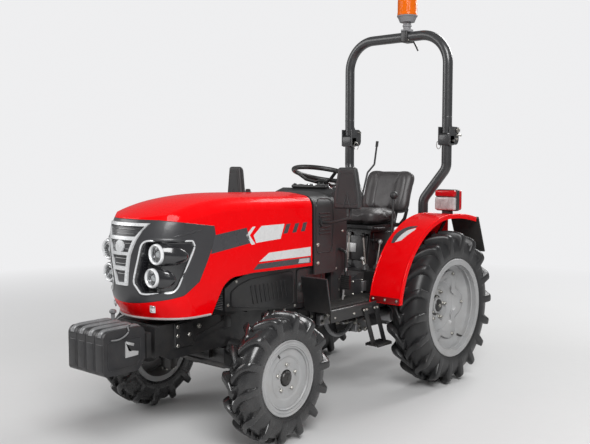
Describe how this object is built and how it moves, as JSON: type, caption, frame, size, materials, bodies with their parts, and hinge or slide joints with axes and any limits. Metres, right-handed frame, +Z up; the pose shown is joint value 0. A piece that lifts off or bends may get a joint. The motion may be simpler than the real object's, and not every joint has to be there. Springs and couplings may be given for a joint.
{
  "type": "compact four wheel drive farm tractor with a folding roll bar",
  "caption": "Compact farm tractor with lifting hood, steered driven front wheels, open operator station, folding roll bar with beacon, front weights and rear three point hitch.",
  "frame": {"origin": "on the ground, under the middle of the tractor's overall length and width", "axes": "+Z up, -Y the way the tractor drives, +X its left hand side"},
  "size_m": [1.17, 2.8, 2.3133],
  "materials": {
    "red_paint": "vivid red gloss paint on pressed steel",
    "mask_grey": "dark grey satin moulded grille mask",
    "grille_silver": "bright silver painted grille surround",
    "lamp_clear": "round lamps with clear lens",
    "lamp_red": "red and clear lens with grey housing",
    "beacon_amber": "amber ribbed beacon dome",
    "beacon_grey": "grey beacon foot",
    "chassis_black": "satin black chassis paint",
    "bar_black": "satin charcoal paint on steel tube",
    "weight_iron": "cast iron painted dark grey",
    "engine_grey": "grey painted cast housings",
    "radiator_black": "black radiator core and shroud",
    "battery_case": "black battery case",
    "black_panel": "black painted side panel",
    "black_plastic": "grained black plastic",
    "wheel_grip": "black moulded steering wheel",
    "seat_vinyl": "black grained vinyl",
    "flap_rubber": "black rubber sheet",
    "rim_silver": "light silver grey painted steel",
    "tyre": "ribbed farm tyre rubber",
    "link_grey": "black painted forged links",
    "shaft_steel": "bare machined steel"
  },
  "bodies": {
    "chassis": {"front_frame": "chassis_black", "weight_bracket": "chassis_black", "front_weights": "weight_iron", "engine_block": "engine_grey", "radiator": "radiator_black", "battery": "battery_case", "transmission": "engine_grey", "rear_axle": "chassis_black", "front_axle": "chassis_black", "front_drive_shaft": "chassis_black", "side_covers": "black_panel", "dash_console": "black_plastic", "steering_column": "black_plastic", "platforms": "chassis_black", "fenders": "red_paint", "mud_flaps": "flap_rubber", "tail_lamps": "lamp_red", "seat_base": "chassis_black", "seat_cushion": "seat_vinyl", "seat_back": "seat_vinyl", "rops_posts": "bar_black", "mirrors": "black_plastic", "hitch_bracket": "chassis_black", "drawbar": "chassis_black", "pedals": "chassis_black", "seat_deck": "chassis_black", "control_levers": "black_plastic"},
    "hood": {"hood_shell": "red_paint", "grille_mask": "mask_grey", "grille_frame": "grille_silver", "head_lamps": "lamp_clear"},
    "roll_hoop": {"rops_hoop": "bar_black", "beacon_base": "beacon_grey", "beacon_lens": "beacon_amber"},
    "steering_wheel": {"steering_wheel": "wheel_grip"},
    "knuckle_left": {"knuckle_left": "chassis_black"},
    "front_wheel_left": {"front_rim_left": "rim_silver", "front_tyre_left": "tyre"},
    "rear_wheel_left": {"rear_rim_left": "rim_silver", "rear_tyre_left": "tyre"},
    "lower_link_left": {"lower_link_left": "link_grey"},
    "lift_rod_left": {"lift_rod_left": "link_grey"},
    "knuckle_right": {"knuckle_right": "chassis_black"},
    "front_wheel_right": {"front_rim_right": "rim_silver", "front_tyre_right": "tyre"},
    "rear_wheel_right": {"rear_rim_right": "rim_silver", "rear_tyre_right": "tyre"},
    "lower_link_right": {"lower_link_right": "link_grey"},
    "lift_rod_right": {"lift_rod_right": "link_grey"},
    "tie_rod": {"tie_rod": "chassis_black"},
    "lift_arms": {"lift_arms": "link_grey"},
    "top_link": {"top_link": "link_grey"},
    "pto_shaft": {"pto_shaft": "shaft_steel"}
  },
  "joints": [
    {"name": "rear_spin_left", "type": "hinge", "parent": "chassis", "child": "rear_wheel_left", "pos_m": [0.48, 0.7, 0.44], "axis": [1, 0, 0], "continuous": true},
    {"name": "steer_left", "type": "hinge", "parent": "chassis", "child": "knuckle_left", "pos_m": [0.315, -0.68, 0.302], "axis": [0, 0, 1], "range_deg": [-38, 38]},
    {"name": "front_spin_left", "type": "hinge", "parent": "knuckle_left", "child": "front_wheel_left", "pos_m": [0.445, -0.68, 0.302], "axis": [1, 0, 0], "continuous": true},
    {"name": "rear_spin_right", "type": "hinge", "parent": "chassis", "child": "rear_wheel_right", "pos_m": [-0.48, 0.7, 0.44], "axis": [1, 0, 0], "continuous": true},
    {"name": "steer_right", "type": "hinge", "parent": "chassis", "child": "knuckle_right", "pos_m": [-0.315, -0.68, 0.302], "axis": [0, 0, 1], "range_deg": [-38, 38]},
    {"name": "front_spin_right", "type": "hinge", "parent": "knuckle_right", "child": "front_wheel_right", "pos_m": [-0.445, -0.68, 0.302], "axis": [1, 0, 0], "continuous": true},
    {"name": "tie_rod_swing", "type": "hinge", "parent": "knuckle_left", "child": "tie_rod", "pos_m": [0.315, -0.798, 0.332], "axis": [0, 0, 1], "range_deg": [-38, 38]},
    {"name": "steering_wheel_turn", "type": "hinge", "parent": "chassis", "child": "steering_wheel", "pos_m": [0, 0.21, 1.205], "axis": [0, 0.2419, 0.9703], "range_deg": [-532, 532]},
    {"name": "hood_lift", "type": "hinge", "parent": "chassis", "child": "hood", "pos_m": [0, -0.176, 1.103], "axis": [-1, 0, 0], "range_deg": [0, 55]},
    {"name": "hoop_fold", "type": "hinge", "parent": "chassis", "child": "roll_hoop", "pos_m": [0, 0.982, 1.466], "axis": [-1, 0, 0], "range_deg": [0, 110]},
    {"name": "link_lift_left", "type": "hinge", "parent": "chassis", "child": "lower_link_left", "pos_m": [0.179, 0.76, 0.33], "axis": [1, 0, 0], "range_deg": [-12, 38]},
    {"name": "link_lift_right", "type": "hinge", "parent": "chassis", "child": "lower_link_right", "pos_m": [-0.179, 0.76, 0.33], "axis": [1, 0, 0], "range_deg": [-12, 38]},
    {"name": "rockshaft_turn", "type": "hinge", "parent": "chassis", "child": "lift_arms", "pos_m": [0, 0.715, 0.735], "axis": [1, 0, 0], "range_deg": [-12, 38]},
    {"name": "lift_rod_swing_left", "type": "hinge", "parent": "lift_arms", "child": "lift_rod_left", "pos_m": [0.132, 0.98925, 0.7216], "axis": [1, 0, 0], "range_deg": [-38, 12]},
    {"name": "lift_rod_swing_right", "type": "hinge", "parent": "lift_arms", "child": "lift_rod_right", "pos_m": [-0.132, 0.98925, 0.7216], "axis": [1, 0, 0], "range_deg": [-38, 12]},
    {"name": "top_link_swing", "type": "hinge", "parent": "chassis", "child": "top_link", "pos_m": [0, 0.905, 0.655], "axis": [1, 0, 0], "range_deg": [-35, 60]},
    {"name": "pto_spin", "type": "hinge", "parent": "chassis", "child": "pto_shaft", "pos_m": [0, 0.865, 0.52], "axis": [0, 1, 0], "continuous": true}
  ],
  "couplings": [
    {"joint": "steer_right", "follows": "steer_left", "ratio": 1},
    {"joint": "tie_rod_swing", "follows": "steer_left", "ratio": -1},
    {"joint": "steering_wheel_turn", "follows": "steer_left", "ratio": 14},
    {"joint": "link_lift_right", "follows": "link_lift_left", "ratio": 1},
    {"joint": "rockshaft_turn", "follows": "link_lift_left", "ratio": 1},
    {"joint": "lift_rod_swing_left", "follows": "link_lift_left", "ratio": -1},
    {"joint": "lift_rod_swing_right", "follows": "link_lift_left", "ratio": -1}
  ]
}
